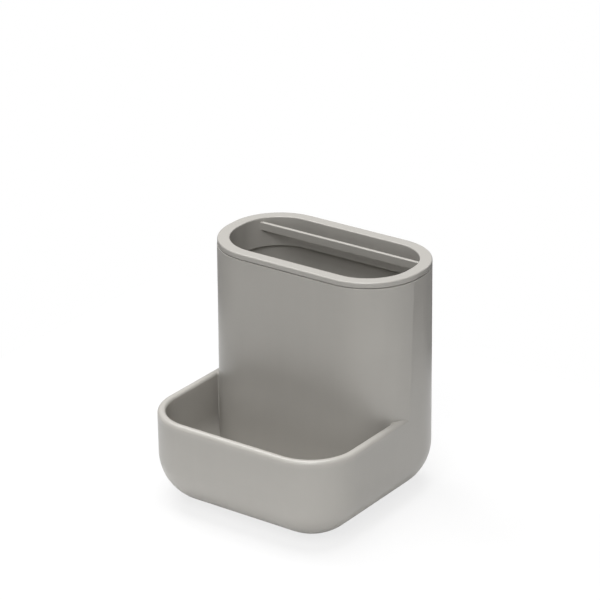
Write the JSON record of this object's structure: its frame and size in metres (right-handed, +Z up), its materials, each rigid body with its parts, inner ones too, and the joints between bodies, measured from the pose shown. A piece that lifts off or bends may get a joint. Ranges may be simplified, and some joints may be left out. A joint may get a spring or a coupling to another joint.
{
  "type": "makeup organizer",
  "caption": "Moulded makeup organizer: a tall rounded brush cup with a lift-out slotted rim insert rises behind a low open tray, all on one soft rounded base",
  "frame": {"origin": "on the surface that the organizer stands on, under the middle of its footprint", "axes": "+Z up, +X to the right and -Y towards the user, so the tray is at -Y and the cup at +Y"},
  "size_m": [0.1094, 0.1068, 0.1187],
  "materials": {
    "body_plastic": "matte",
    "insert_plastic": "matte",
    "foot_rubber": "matte"
  },
  "bodies": {
    "organizer": {"organizer_body": "body_plastic", "front_left_foot": "foot_rubber", "front_right_foot": "foot_rubber", "rear_left_foot": "foot_rubber", "rear_right_foot": "foot_rubber"},
    "insert": {"cup_insert": "insert_plastic"}
  },
  "joints": [
    {"name": "insert_lift", "type": "slide", "parent": "organizer", "child": "insert", "axis": [0, 0, 1], "range_m": [0, 0.04]}
  ]
}
